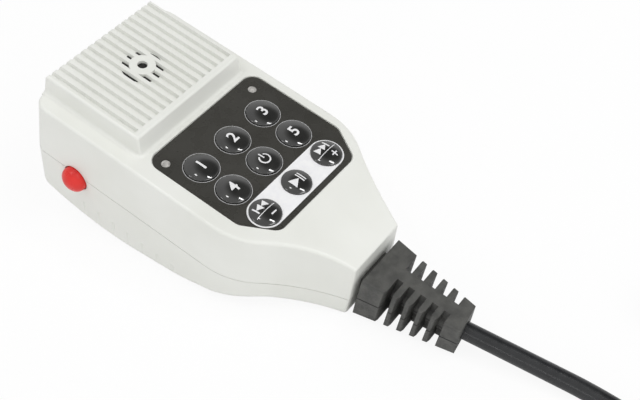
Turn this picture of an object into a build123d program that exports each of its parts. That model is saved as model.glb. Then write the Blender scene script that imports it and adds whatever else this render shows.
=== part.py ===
from build123d import *
import os
from math import cos, pi, radians, sin, tan

# Hand microphone: a two-piece housing with a nine-key pad, a ribbed grille over the capsule,
# a push button on its left side, and a cord that ends in a round screw plug.
#
# The housing's own frame has X to the right seen from the front, Y towards the head and Z out
# of the face. Its origin is the middle key of the first row, on the face. Finished pieces are
# laid down at rest: the middle of the belly's flat comes to the origin and the table is XY.
# The cord, its coil and the plug are modelled where they lie on that table. Millimetres.

# Outline of the housing, at the seam
half_width = 33.0
head_length = 59.6
tail_length = 60.3
head_corner_radius = 6.3
shoulder_start = 17.0
shoulder_radius = 27.0
shoulder_turn = 39.0
waist_radius = 83.0
waist_turn = 20.0
draft = 2.5

# Profile of the housing, from the side
seam_depth = 20.9
tail_face_start = 33.0
tail_face_radius = 70.0
tail_face_turn = 32.0
tail_depth = 31.0
tail_cove_radius = 25.0
ramp_slope = 19.5
belly_radius = 60.0
belly_y = 5.5
belly_depth = 42.22
belly_flat = 13.2
tilt = 9.8
head_rise_radius = 95.0
head_rise_turn = 24.3

# Shells
wall = 2.4
face_edge_radius = 1.1
back_edge_radius = 3.2
tail_rim_radius = 0.8
seam_groove = 0.22
edge_tolerance = 0.05
lip_height = 1.0
lip_thickness = 1.0
lip_gap = 0.1

# Finger grooves, low on both side walls
finger_groove_count = 7
finger_groove_pitch = 6.6
finger_groove_middle_y = 16.6
finger_groove_top = 34.5
finger_groove_radius = 0.9
finger_groove_depth = 0.35

# Grille block
grille_height = 7.04
grille_half_width = 26.05
grille_side_slope = 5.3
grille_front = 16.9
grille_front_slope = 15.5
grille_edge_radius = 1.0
grille_foot_radius = 1.4
groove_count = 15
groove_pitch = 3.32
groove_start = 21.2
groove_depth = 1.3
groove_top_width = 1.9
groove_bottom_width = 1.1
port_y = 39.4
port_ring_radius = 7.0
port_hub_radius = 4.5
port_hole_radius = 1.75
port_skin = 1.14
port_tube_wall = 1.5
port_tube_length = 5.2

# Keypad
key_pitch_x = 16.0
key_pitch_y = 13.225
play_radius = 5.15
skip_radius = 5.4
skip_x = 16.43
key_radius = 5.7
key_gap = 0.2
key_rise = 1.3
key_crown = 1.1
key_edge_radius = 0.4
key_flange = 0.5
key_flange_thickness = 1.0
key_stem_radius = 2.0
key_travel = 0.4
key_slack = 0.1
overlay_width = 54.0
overlay_centre_x = 1.1
overlay_top = 14.5
overlay_bottom = 34.3
overlay_top_radius = 4.5
overlay_corner_radius = 4.0
overlay_chamfer_x = 7.0
overlay_chamfer_y = 11.4
overlay_gap = 0.3
overlay_thickness = 0.35
overlay_recess = 0.6
lamp_radius = 1.5
lamp_x = 22.35
lamp_y = 9.5
lamp_length = 4.6
lamp_rise = 0.2
lamp_flange = 0.45
lamp_flange_thickness = 1.0
lamp_lead = 0.5
lamp_lead_pitch = 2.54
lamp_hole_gap = 0.1

# Keypad board and its switches
board_depth = 12.9
board_thickness = 1.6
board_gap = 0.7
board_top = 17.5
board_bottom = 39.5
tact_size = 6.0
tact_height = 3.5
tact_plunger_radius = 1.75
tact_plunger_height = 1.5
boss_radius = 2.6
boss_head_x = 24.0
boss_head_y = 15.2
boss_tail_x = 18.0
boss_tail_y = 36.6
board_screw_radius = 1.0
board_screw_length = 5.0
board_screw_head_radius = 2.0
board_screw_head_height = 1.3
pilot_gap = 0.05
pilot_spare = 0.2

# Capsule
capsule_radius = 4.85
capsule_height = 6.7
holder_lip = 1.0
screen_thickness = 0.4
capsule_lead_radius = 0.3
capsule_lead_length = 2.2
capsule_lead_pitch = 2.54
capsule_opening = 3.6

# Push-to-talk button and switch
ptt_y = 39.5
ptt_depth = 23.2
ptt_radius = 4.7
ptt_gap = 0.3
ptt_rise = 4.1
ptt_crown = 2.5
ptt_edge_radius = 3.0
ptt_flange_radius = 6.1
ptt_flange_thickness = 1.2
ptt_seat_depth = 0.3
ptt_seat_gap = 0.3
ptt_travel = 1.5
ptt_slack = 0.1
ptt_switch_width = 5.8
ptt_switch_thickness = 5.0
ptt_switch_height = 6.5
ptt_switch_chamfer = 0.4
ptt_plunger_radius = 1.2
ptt_plunger_length = 2.0

# Audio board
audio_depth = 26.0
audio_left = 27.0
audio_right = 20.0
audio_bottom = 21.0
audio_top = 42.5
audio_post_radius = 2.6
audio_post_inset = 3.2

# Case screws
case_head_x = 23.4
case_head_y = 47.5
case_tail_x = 10.6
case_tail_y = 45.0
case_post_radius = 3.2
case_tube_wall = 1.4
case_screw_radius = 1.3
case_screw_head_radius = 2.5
case_screw_head_height = 1.8
case_screw_cover = 5.0
case_screw_bite = 7.0
case_clearance = 0.25

# Strain relief
boot_gap = 1.6
boot_length = 33.9
boot_base_width = 10.85
boot_end_width = 5.95
boot_top_depth = 10.0
boot_base_bottom = 28.8
boot_end_bottom = 22.5
boot_spine = 2.4
boot_belly = 0.3
boot_line = 0.2
boot_edge_radius = 0.6
boot_core_radius = 3.9
boot_core_end = 2.4
boot_slot_count = 5
boot_first_slot = 9.35
boot_slot_pitch = 4.46
boot_slot_width = 2.3
boot_slot_flare = 0.33
boot_slot_flare_depth = 1.2
boot_neck_width = 7.0
boot_neck_height = 10.0
boot_flange_width = 9.0
boot_flange_height = 14.0
boot_flange_thickness = 2.0
boot_flange_gap = 0.5

# Cord
cord_diameter = 6.2
jacket_length = 9.0
clamp_width = 4.0
clamp_thickness = 1.5
clamp_gap = 0.6
clamp_foot = 4.6
clamp_drop = 1.0
clamp_post_radius = 2.2
coil_x = 4.2
coil_y = -225.8
coil_inner_turn = 25.0
coil_turns = 3
coil_layers = 2
coil_step = 6.25
coil_flat = 0.3

# Plug
plug_x = 51.0
plug_y = -199.2
plug_shell_radius = 8.6
plug_rear_radius = 5.6
plug_shell_length = 34.0
plug_shell_wall = 1.2
plug_taper_length = 9.0
ring_radius = 9.6
ring_length = 11.0
ring_wall = 1.6
ring_gap = 0.15
ring_chamfer = 0.45
ring_flutes = 36
ring_flute_radius = 0.45
insert_radius = 6.9
insert_length = 14.0
insert_reach = 5.0
insert_flange = 0.9
insert_setback = 1.2
contact_count = 8
contact_circle = 4.6
contact_radius = 0.9
contact_length = 16.0
tongue_length = 9.0
tongue_wall = 1.6
ear_thickness = 1.6
saddle_screw_radius = 1.0
saddle_screw_head_radius = 1.7
saddle_screw_head_height = 1.2

# Where the cord first bends on its way down to the table
first_bend = (1.76, -118.04, 6.70)

# Planes and lines that several pieces share
seam = Plane.XY.offset(-seam_depth)
board_plane = Plane.XY.offset(-board_depth)
table = Plane(
    origin=(0, belly_y, -belly_depth),
    x_dir=(1, 0, 0),
    z_dir=(0, sin(radians(tilt)), cos(radians(tilt))),
)
at_rest = table.location.inverse()
reach = head_length + tail_length
housing_height = belly_depth + grille_height

key_places = {
    "key_1": (-key_pitch_x, 0, key_radius),
    "key_2": (0, 0, key_radius),
    "key_3": (key_pitch_x, 0, key_radius),
    "key_4": (-key_pitch_x, -key_pitch_y, key_radius),
    "key_5": (0, -key_pitch_y, key_radius),
    "key_6": (key_pitch_x, -key_pitch_y, key_radius),
    "key_down": (-skip_x, -2 * key_pitch_y, skip_radius),
    "key_play": (0, -2 * key_pitch_y, play_radius),
    "key_up": (skip_x, -2 * key_pitch_y, skip_radius),
}
lamp_places = [(-lamp_x, lamp_y), (lamp_x, lamp_y)]
boss_places = [
    (-boss_head_x, boss_head_y),
    (boss_head_x, boss_head_y),
    (-boss_tail_x, -boss_tail_y),
    (boss_tail_x, -boss_tail_y),
]
case_places = [
    (-case_head_x, case_head_y),
    (case_head_x, case_head_y),
    (-case_tail_x, -case_tail_y),
    (case_tail_x, -case_tail_y),
]
audio_post_places = [
    (-audio_left + audio_post_inset, audio_bottom + audio_post_inset),
    (audio_right - audio_post_inset, audio_bottom + audio_post_inset),
    (audio_right - audio_post_inset, audio_top - audio_post_inset),
]

os.makedirs("parts", exist_ok=True)


def write(piece, name):
    """Label a piece and write it."""
    piece.label = name
    export_step(piece, f"parts/{name}.step")


def write_housed(piece, name):
    """Lay a piece of the housing down at rest, then write it."""
    write(piece.moved(at_rest), name)


def outline(plane, inset=0.0):
    """The housing seen from the front, made smaller all round by inset."""
    with BuildSketch(plane) as sketch:
        with BuildLine():
            side = Line((half_width, head_length), (half_width, -shoulder_start))
            shoulder = JernArc(side @ 1, (0, -1), shoulder_radius, -shoulder_turn)
            waist = JernArc(shoulder @ 1, shoulder % 1, waist_radius, waist_turn)
            run_out = waist @ 1 + (waist % 1) * (waist @ 1).X
            Polyline(waist @ 1, run_out, (0, run_out.Y), (0, head_length), side @ 0)
        make_face()
        mirror(about=Plane.YZ)
        with Locations((0, (head_length - tail_length) / 2)):
            Rectangle(2 * half_width, reach, mode=Mode.INTERSECT)
        fillet(sketch.vertices().group_by(Axis.Y)[-1], head_corner_radius)
        if inset > 0:
            offset(amount=-inset)
    return sketch.sketch


def side_profile(inset=0.0):
    """The housing seen from its right side, running on past both ends."""
    flat_direction = Vector(cos(radians(tilt)), -sin(radians(tilt)))
    flat_middle = Vector(belly_y, -belly_depth)
    with BuildSketch(Plane.YZ) as sketch:
        with BuildLine():
            flat = Line(
                flat_middle - flat_direction * belly_flat / 2,
                flat_middle + flat_direction * belly_flat / 2,
            )
            rise = JernArc(flat @ 1, flat_direction, head_rise_radius, head_rise_turn)
            heel = Line(rise @ 1, rise @ 1 + (rise % 1) * head_length)
            belly = JernArc(flat @ 0, flat_direction * -1, belly_radius, tilt - ramp_slope)
            cove_drop = tail_cove_radius * (1 - cos(radians(ramp_slope)))
            ramp_rise = -tail_depth - cove_drop - (belly @ 1).Y
            ramp = Line(belly @ 1, belly @ 1 + (belly % 1) * ramp_rise / sin(radians(ramp_slope)))
            cove = JernArc(ramp @ 1, ramp % 1, tail_cove_radius, ramp_slope)
            face_turn = JernArc((-tail_face_start, 0), (-1, 0), tail_face_radius, tail_face_turn)
            far_tail = (face_turn @ 1).X
            Polyline(
                cove @ 1,
                (min(far_tail, (cove @ 1).X) - wall, -tail_depth),
                (min(far_tail, (cove @ 1).X) - wall, (face_turn @ 1).Y),
                face_turn @ 1,
            )
            Polyline((-tail_face_start, 0), ((heel @ 1).X, 0), heel @ 1)
        make_face()
        if inset > 0:
            offset(amount=-inset)
    return sketch.sketch


def tapered_block(inset=0.0):
    """The outline drawn out on both sides of the seam, getting smaller by the draft."""
    with BuildPart() as block:
        extrude(outline(seam, inset), amount=seam_depth + grille_height, taper=draft)
        mirror(about=seam)
    return block.part


def posts(places, radius, from_depth, to_depth):
    """Round posts at the places, standing between two depths below the face."""
    with BuildPart() as group:
        with BuildSketch(Plane.XY.offset(-from_depth)):
            with Locations(*places):
                Circle(radius)
        extrude(amount=from_depth - to_depth)
    return group.part


def face_rim(edges):
    """The edges round the face, without the line where the face starts to fall away."""
    high = edges.filter_by(lambda e: e.center().Z > -seam_depth / 2)
    level = high.filter_by(lambda e: abs(e.tangent_at(0.5).Z) < 0.6)
    return level.filter_by(lambda e: abs(e.center().X) > 1 or e.center().Y > 0)


def back_rim(edges):
    """The edges round the back, without the lines across it."""
    low = edges.filter_by(lambda e: e.center().Z < -seam_depth - wall)
    level = low.filter_by(lambda e: abs(e.tangent_at(0.5).Z) < 0.6)
    return level.filter_by(lambda e: abs(e.center().X) > 1 or e.center().Y > head_length - wall)


# The whole outer form of the housing, before it is hollowed and split
with BuildPart() as form:
    add(tapered_block())
    extrude(side_profile(), amount=half_width, both=True, mode=Mode.INTERSECT)
    off_tail = form.edges().filter_by(lambda e: e.center().Y > -tail_length + tail_rim_radius)
    fillet(face_rim(off_tail), face_edge_radius)
    off_tail = form.edges().filter_by(lambda e: e.center().Y > -tail_length + tail_rim_radius)
    fillet(back_rim(off_tail), back_edge_radius)


def form_half(keep):
    """One half of the form, with the rim of its tail end rounded."""
    with BuildPart() as half:
        add(form.part)
        split(bisect_by=seam, keep=keep)
        tail_face = half.faces().sort_by(Axis.Y)[0]
        fillet(tail_face.edges().filter_by(off_seam), tail_rim_radius)
    return half.part


def off_seam(edge):
    """Whether an edge lies off the plane of the seam."""
    return abs(edge.center().Z + seam_depth) > edge_tolerance


def at_grille_foot(edge):
    """Whether an edge is where the grille block rises from the face."""
    middle = edge.center()
    level = abs(middle.Z) < edge_tolerance
    beside = abs(middle.X) < grille_half_width + edge_tolerance
    return level and beside and grille_front - edge_tolerance < middle.Y < head_length - wall


# The skin of the face round the grille block
with BuildPart() as grille_base:
    add(tapered_block())
    with BuildSketch(Plane.XY.offset(-wall)):
        with Locations((0, grille_front - grille_foot_radius)):
            Rectangle(
                2 * (grille_half_width + grille_foot_radius),
                head_length,
                align=(Align.CENTER, Align.MIN),
            )
    extrude(amount=wall, mode=Mode.INTERSECT)

# The grille block that stands on the face, with a rounded foot
with BuildPart() as grille:
    add(tapered_block())
    front_run = grille_height * tan(radians(grille_front_slope))
    root_run = wall * tan(radians(grille_front_slope))
    with BuildSketch(Plane.YZ):
        with BuildLine():
            Polyline(
                (grille_front - root_run, -wall),
                (grille_front + front_run, grille_height),
                (head_length + wall, grille_height),
                (head_length + wall, -wall),
                close=True,
            )
        make_face()
    extrude(amount=half_width, both=True, mode=Mode.INTERSECT)
    side_run = grille_height * tan(radians(grille_side_slope))
    side_root = wall * tan(radians(grille_side_slope))
    with BuildSketch(Plane.XZ):
        with BuildLine():
            Polyline(
                (-grille_half_width - side_root, -wall),
                (-grille_half_width + side_run, grille_height),
                (grille_half_width - side_run, grille_height),
                (grille_half_width + side_root, -wall),
                close=True,
            )
        make_face()
    extrude(amount=reach, both=True, mode=Mode.INTERSECT)
    upright = grille.edges().filter_by(lambda e: abs(e.tangent_at(0.5).Z) > 0.8)
    fillet(upright.group_by(Axis.Y)[0], grille_edge_radius)
    fillet(grille.faces().sort_by(Axis.Z)[-1].edges(), grille_edge_radius)
    add(grille_base.part)
    fillet(grille.edges().filter_by(at_grille_foot), grille_foot_radius)

# The grooves between the ribs, kept clear of the hub of the port
with BuildSketch() as groove_profile:
    with BuildLine():
        Polyline(
            (-groove_top_width / 2, -groove_depth),
            (-groove_top_width / 2, 0),
            (-groove_bottom_width / 2, groove_depth),
            (groove_bottom_width / 2, groove_depth),
            (groove_top_width / 2, 0),
            (groove_top_width / 2, -groove_depth),
            close=True,
        )
    make_face()
with BuildPart() as grooves:
    with BuildSketch(Plane((0, groove_start, grille_height), x_dir=(1, 0, 0), z_dir=(0, 1, 0))):
        with GridLocations(groove_pitch, 0, groove_count, 1):
            add(groove_profile.sketch)
    extrude(amount=head_length)
    with Locations((0, port_y, grille_height)):
        Cylinder(port_hub_radius, 4 * groove_depth, mode=Mode.SUBTRACT)

# The room inside, up into the grille block
room_top = grille_height - groove_depth - wall
room_front = grille_front + front_run + wall
with BuildPart() as room:
    add(tapered_block(wall))
    extrude(side_profile(wall), amount=half_width, both=True, mode=Mode.INTERSECT)
    with BuildSketch(Plane.XY.offset(-2 * wall)):
        with Locations((0, room_front)):
            Rectangle(
                2 * (grille_half_width - side_run - wall),
                head_length - 2 * wall - room_front,
                align=(Align.CENTER, Align.MIN),
            )
    extrude(amount=2 * wall + room_top)


def overlay_outline(plane, margin=0.0):
    """The outline of the keypad overlay, made larger all round by margin."""
    left = overlay_centre_x - overlay_width / 2
    right = overlay_centre_x + overlay_width / 2
    with BuildSketch(plane) as sketch:
        with BuildLine():
            Polyline(
                (left, overlay_top),
                (left, -overlay_bottom + overlay_chamfer_y),
                (left + overlay_chamfer_x, -overlay_bottom),
                (right - overlay_chamfer_x, -overlay_bottom),
                (right, -overlay_bottom + overlay_chamfer_y),
                (right, overlay_top),
                close=True,
            )
        make_face()
        fillet(sketch.vertices().group_by(Axis.Y)[-1], overlay_top_radius)
        low = sketch.vertices().filter_by(lambda v: v.Y < -overlay_bottom + overlay_chamfer_y + wall)
        fillet(low, overlay_corner_radius)
        if margin > 0:
            offset(amount=margin)
    return sketch.sketch


def face_holes():
    """The holes for the keys and the lamps, through the face."""
    with BuildPart() as holes:
        with BuildSketch(Plane.XY.offset(-2 * wall)):
            for key_x, key_y, radius in key_places.values():
                with Locations((key_x, key_y)):
                    Circle(radius + key_gap)
            with Locations(*lamp_places):
                Circle(lamp_radius + lamp_hole_gap)
        extrude(amount=2 * wall + grille_height)
    return holes.part


def side_bore(radius, from_x, to_x):
    """A round bar along X at the push button, between two distances from the middle plane."""
    with BuildPart() as bar:
        with BuildSketch(Plane.YZ.offset(-from_x)):
            with Locations((ptt_y, -ptt_depth)):
                Circle(radius)
        extrude(amount=from_x - to_x)
    return bar.part


# Places that follow from the dimensions above
ptt_seat_x = half_width - wall + ptt_seat_depth
boot_start = tail_length + boot_gap
boot_end = boot_start + boot_length
cord_depth = (boot_top_depth + boot_base_bottom) / 2
cord_exit_depth = (boot_top_depth + boot_end_bottom) / 2
cord_radius = cord_diameter / 2
flange_start = tail_length - wall - boot_flange_gap
jacket_start = flange_start - boot_flange_thickness
clamp_y = jacket_start - clamp_gap - clamp_width / 2
clamp_screw_x = cord_radius + clamp_thickness + board_screw_head_radius
clamp_foot_depth = cord_depth + clamp_drop
clamp_places = [(-clamp_screw_x, -clamp_y), (clamp_screw_x, -clamp_y)]
case_tube_radius = case_screw_head_radius + case_clearance + case_tube_wall
case_seat_depth = seam_depth + case_screw_cover
pocket_top = grille_height - port_skin
tube_bottom = room_top - port_tube_length
board_bottom_depth = board_depth + board_thickness


def neck_block(height, width, from_y, to_y):
    """A block round the cord where it passes the tail end, between two distances down the tail."""
    with BuildPart() as block:
        with BuildSketch(Plane((0, -to_y, -cord_depth), x_dir=(1, 0, 0), z_dir=(0, -1, 0))):
            RectangleRounded(2 * width, height, tail_rim_radius)
        extrude(amount=from_y - to_y)
    return block.part


def lip_ring(inner, outer, height):
    """A ring that follows the outline inside the wall, standing up from the seam."""
    with BuildPart() as ring:
        extrude(outline(seam, inner), amount=height)
        extrude(outline(seam, outer), amount=height, mode=Mode.SUBTRACT)
    return ring.part


def head_screws(places, seat, head_radius, head_height, radius, length, direction):
    """Pan-head screws whose heads stand on a seat, with shanks that run in the direction."""
    with BuildPart() as screws:
        for x, y in places:
            plane = Plane(origin=(x, y, seat), x_dir=(1, 0, 0), z_dir=(0, 0, direction))
            with BuildSketch(plane):
                Circle(radius)
            extrude(amount=length)
            with BuildSketch(plane):
                Circle(head_radius)
            extrude(amount=-head_height)
            with BuildSketch(plane.offset(-head_height)):
                RegularPolygon(head_radius / 2, 6)
            extrude(amount=head_height / 2, mode=Mode.SUBTRACT)
    return screws.part


with BuildPart() as front_shell:
    add(form_half(Keep.TOP))
    add(grille.part)
    add(grooves.part, mode=Mode.SUBTRACT)
    add(room.part, mode=Mode.SUBTRACT)
    add(posts([(0, port_y)], port_ring_radius + port_tube_wall, -tube_bottom, -room_top))
    add(posts([(0, port_y)], port_ring_radius, -tube_bottom, -pocket_top), mode=Mode.SUBTRACT)
    with Locations((0, port_y, pocket_top)):
        Cylinder(port_hole_radius, 4 * port_skin, mode=Mode.SUBTRACT)
    add(posts(boss_places, boss_radius, board_depth, wall / 2))
    add(posts(case_places, case_post_radius, seam_depth, wall))
    boss_pilot = board_screw_length - board_thickness + pilot_spare
    case_pilot_end = seam_depth - case_screw_bite - pilot_spare
    add(
        posts(boss_places, board_screw_radius + pilot_gap, board_depth, board_depth - boss_pilot),
        mode=Mode.SUBTRACT,
    )
    add(
        posts(case_places, case_screw_radius + pilot_gap, seam_depth, case_pilot_end),
        mode=Mode.SUBTRACT,
    )
    extrude(overlay_outline(Plane.XY, overlay_gap), amount=-overlay_recess, mode=Mode.SUBTRACT)
    add(face_holes(), mode=Mode.SUBTRACT)
    add(side_bore(ptt_radius + ptt_gap, half_width + wall, ptt_seat_x - wall), mode=Mode.SUBTRACT)
    add(
        side_bore(ptt_flange_radius + ptt_seat_gap, ptt_seat_x, ptt_seat_x - wall),
        mode=Mode.SUBTRACT,
    )
    add(
        neck_block(boot_neck_height, boot_neck_width, tail_length + wall, tail_length - 2 * wall),
        mode=Mode.SUBTRACT,
    )
    add(lip_ring(wall - lip_thickness - lip_gap, wall + wall, lip_height + lip_gap), mode=Mode.SUBTRACT)
    add(lip_ring(0, seam_groove, seam_groove), mode=Mode.SUBTRACT)
write_housed(front_shell.part, "front_shell")

with BuildPart() as back_posts:
    add(posts(case_places, case_tube_radius, belly_depth, seam_depth))
    add(posts(audio_post_places, audio_post_radius, belly_depth, audio_depth + board_thickness))
    add(posts(clamp_places, clamp_post_radius, belly_depth, clamp_foot_depth))
    with Locations((0, -clamp_y, -cord_depth)):
        Box(
            2 * clamp_post_radius,
            clamp_width,
            belly_depth,
            align=(Align.CENTER, Align.CENTER, Align.MAX),
        )
    with BuildSketch(Plane.XZ):
        with Locations((0, -cord_depth)):
            Circle(cord_radius)
    extrude(amount=tail_length, mode=Mode.SUBTRACT)
    add(form.part, mode=Mode.INTERSECT)

# Upright grooves that a finger feels, open to the rounded edge round the back
with BuildPart() as finger_grooves:
    wall_inset = (finger_groove_top - seam_depth) * tan(radians(draft))
    groove_axis_x = half_width - wall_inset + finger_groove_radius - finger_groove_depth
    with BuildSketch(Plane.XY.offset(-housing_height)):
        with Locations((0, finger_groove_middle_y)):
            with GridLocations(2 * groove_axis_x, finger_groove_pitch, 2, finger_groove_count):
                Circle(finger_groove_radius)
    extrude(amount=housing_height - finger_groove_top)
    fillet(finger_grooves.edges().group_by(Axis.Z)[-1], finger_groove_depth)

with BuildPart() as back_shell:
    add(form_half(Keep.BOTTOM))
    add(room.part, mode=Mode.SUBTRACT)
    add(lip_ring(wall - lip_thickness, wall, lip_height))
    add(back_posts.part)
    add(
        posts(case_places, case_screw_radius + case_clearance, belly_depth, seam_depth),
        mode=Mode.SUBTRACT,
    )
    add(
        posts(case_places, case_screw_head_radius + case_clearance, housing_height, case_seat_depth),
        mode=Mode.SUBTRACT,
    )
    pilot = board_screw_length + pilot_spare
    add(
        posts(
            audio_post_places,
            board_screw_radius + pilot_gap,
            audio_depth + pilot,
            audio_depth,
        ),
        mode=Mode.SUBTRACT,
    )
    add(
        posts(clamp_places, board_screw_radius + pilot_gap, clamp_foot_depth + pilot, clamp_foot_depth),
        mode=Mode.SUBTRACT,
    )
    add(side_bore(ptt_radius + ptt_gap, half_width + wall, ptt_seat_x - wall), mode=Mode.SUBTRACT)
    add(
        side_bore(ptt_flange_radius + ptt_seat_gap, ptt_seat_x, ptt_seat_x - wall),
        mode=Mode.SUBTRACT,
    )
    add(
        neck_block(boot_neck_height, boot_neck_width, tail_length + wall, tail_length - 2 * wall),
        mode=Mode.SUBTRACT,
    )
    add(finger_grooves.part, mode=Mode.SUBTRACT)
write_housed(back_shell.part, "back_shell")

with BuildPart() as keypad_overlay:
    extrude(
        overlay_outline(Plane.XY.offset(-overlay_recess)),
        amount=overlay_thickness,
    )
    add(face_holes(), mode=Mode.SUBTRACT)
write_housed(keypad_overlay.part, "keypad_overlay")

key_flange_depth = wall + key_flange_thickness
stem_end_depth = board_depth - tact_height - tact_plunger_height - key_travel - key_slack
for key_name, (key_x, key_y, radius) in key_places.items():
    with BuildPart() as key:
        with BuildSketch(Plane((key_x, key_y, 0), x_dir=(1, 0, 0), z_dir=(0, -1, 0))) as half_key:
            with BuildLine():
                edge_height = key_rise - key_crown
                crown_radius = (radius**2 + key_crown**2) / (2 * key_crown)
                RadiusArc((0, key_rise), (radius, edge_height), -crown_radius)
                Polyline(
                    (radius, edge_height),
                    (radius, -wall),
                    (radius + key_gap + key_flange, -wall),
                    (radius + key_gap + key_flange, -key_flange_depth),
                    (key_stem_radius, -key_flange_depth),
                    (key_stem_radius, -stem_end_depth),
                    (0, -stem_end_depth),
                    (0, key_rise),
                )
            make_face()
            shoulder = half_key.vertices().filter_by(lambda v: v.Z > -wall / 2)
            fillet(shoulder.sort_by(Axis.X)[-1], key_edge_radius)
        revolve(axis=Axis((key_x, key_y, 0), (0, 0, 1)))
    write_housed(key.part, key_name)

with BuildPart() as indicator_lamps:
    lamp_root = lamp_rise - lamp_length
    for x, y in lamp_places:
        with BuildSketch(Plane((x, y, 0), x_dir=(1, 0, 0), z_dir=(0, -1, 0))):
            with BuildLine():
                RadiusArc((0, lamp_rise), (lamp_radius, lamp_rise - lamp_radius), -lamp_radius)
                Polyline(
                    (lamp_radius, lamp_rise - lamp_radius),
                    (lamp_radius, lamp_root + lamp_flange_thickness),
                    (lamp_radius + lamp_flange, lamp_root + lamp_flange_thickness),
                    (lamp_radius + lamp_flange, lamp_root),
                    (0, lamp_root),
                    (0, lamp_rise),
                )
            make_face()
        revolve(axis=Axis((x, y, 0), (0, 0, 1)))
        with BuildSketch(board_plane):
            with Locations((x, y)):
                with GridLocations(lamp_lead_pitch, 0, 2, 1):
                    Rectangle(lamp_lead, lamp_lead)
        extrude(amount=board_depth + lamp_root)
write_housed(indicator_lamps.part, "indicator_lamps")

with BuildPart() as keypad_board:
    with BuildSketch(board_plane) as board_sketch:
        add(outline(Plane.XY, wall + board_gap))
        with Locations((0, (board_top - board_bottom) / 2)):
            Rectangle(2 * half_width, board_top + board_bottom, mode=Mode.INTERSECT)
        with Locations(*boss_places):
            Circle(board_screw_radius + case_clearance, mode=Mode.SUBTRACT)
    extrude(amount=-board_thickness)
write_housed(keypad_board.part, "keypad_board")

with BuildPart() as tact_switches:
    for key_x, key_y, radius in key_places.values():
        with Locations((key_x, key_y, -board_depth)):
            Box(
                tact_size,
                tact_size,
                tact_height,
                align=(Align.CENTER, Align.CENTER, Align.MIN),
            )
            Cylinder(
                tact_plunger_radius,
                tact_height + tact_plunger_height,
                align=(Align.CENTER, Align.CENTER, Align.MIN),
            )
write_housed(tact_switches.part, "tact_switches")

board_screws = head_screws(
    boss_places,
    -board_bottom_depth,
    board_screw_head_radius,
    board_screw_head_height,
    board_screw_radius,
    board_screw_length,
    1,
)
write_housed(board_screws, "board_screws")

case_screws = head_screws(
    case_places,
    -case_seat_depth,
    case_screw_head_radius,
    case_screw_head_height,
    case_screw_radius,
    case_screw_cover + case_screw_bite,
    1,
)
write_housed(case_screws, "case_screws")

# The capsule hangs in its rubber holder behind the port, under a disc of cloth
capsule_top = pocket_top - screen_thickness
with BuildPart() as dust_screen:
    with BuildSketch(Plane.XY.offset(capsule_top)):
        with Locations((0, port_y)):
            Circle(port_ring_radius)
    extrude(amount=screen_thickness)
write_housed(dust_screen.part, "dust_screen")

with BuildPart() as capsule_holder:
    add(posts([(0, port_y)], port_ring_radius, -tube_bottom, -capsule_top))
    lip_bottom = tube_bottom - holder_lip
    add(posts([(0, port_y)], port_ring_radius + port_tube_wall, -lip_bottom, -tube_bottom))
    capsule_bottom = capsule_top - capsule_height
    add(posts([(0, port_y)], capsule_radius, -capsule_bottom, -capsule_top), mode=Mode.SUBTRACT)
    add(posts([(0, port_y)], capsule_opening, -lip_bottom, -capsule_bottom), mode=Mode.SUBTRACT)
write_housed(capsule_holder.part, "capsule_holder")

with BuildPart() as mic_capsule:
    add(posts([(0, port_y)], capsule_radius, -capsule_bottom, -capsule_top))
    chamfer(mic_capsule.edges().filter_by(GeomType.CIRCLE), capsule_lead_radius)
    with Locations((0, port_y, capsule_bottom)):
        with GridLocations(capsule_lead_pitch, 0, 2, 1):
            Cylinder(
                capsule_lead_radius,
                capsule_lead_length,
                align=(Align.CENTER, Align.CENTER, Align.MAX),
            )
    with Locations((0, port_y, capsule_top)):
        Cylinder(port_hole_radius, capsule_lead_radius, mode=Mode.SUBTRACT)
write_housed(mic_capsule.part, "mic_capsule")

# The push button slides in from the left side against the plunger of its switch
ptt_back_x = ptt_seat_x - ptt_flange_thickness
with BuildPart() as ptt_button:
    with BuildSketch(Plane.XY.offset(-ptt_depth)) as half_button:
        with BuildLine():
            ptt_edge = half_width + ptt_rise - ptt_crown
            ptt_crown_radius = (ptt_radius**2 + ptt_crown**2) / (2 * ptt_crown)
            RadiusArc(
                (-half_width - ptt_rise, ptt_y),
                (-ptt_edge, ptt_y + ptt_radius),
                ptt_crown_radius,
            )
            Polyline(
                (-ptt_edge, ptt_y + ptt_radius),
                (-ptt_seat_x, ptt_y + ptt_radius),
                (-ptt_seat_x, ptt_y + ptt_flange_radius),
                (-ptt_back_x, ptt_y + ptt_flange_radius),
                (-ptt_back_x, ptt_y),
                (-half_width - ptt_rise, ptt_y),
            )
        make_face()
        shoulder = half_button.vertices().filter_by(lambda v: abs(v.X + ptt_edge) < edge_tolerance)
        fillet(shoulder, ptt_edge_radius)
    revolve(axis=Axis((0, ptt_y, -ptt_depth), (1, 0, 0)))
write_housed(ptt_button.part, "ptt_button")

plunger_tip_x = ptt_back_x - ptt_travel - ptt_slack
switch_face_x = plunger_tip_x - ptt_plunger_length
with BuildPart() as ptt_switch:
    with Locations((-switch_face_x, ptt_y, -audio_depth)):
        Box(
            ptt_switch_thickness,
            ptt_switch_width,
            ptt_switch_height,
            align=(Align.MIN, Align.CENTER, Align.MIN),
        )
    chamfer(ptt_switch.edges().filter_by(Axis.X), ptt_switch_chamfer)
    add(side_bore(ptt_plunger_radius, plunger_tip_x, switch_face_x - ptt_plunger_length))
write_housed(ptt_switch.part, "ptt_switch")

with BuildPart() as audio_board:
    with BuildSketch(Plane.XY.offset(-audio_depth)):
        with Locations(((audio_right - audio_left) / 2, (audio_bottom + audio_top) / 2)):
            Rectangle(audio_left + audio_right, audio_top - audio_bottom)
        with Locations(*audio_post_places):
            Circle(board_screw_radius + case_clearance, mode=Mode.SUBTRACT)
    extrude(amount=-board_thickness)
write_housed(audio_board.part, "audio_board")

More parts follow.
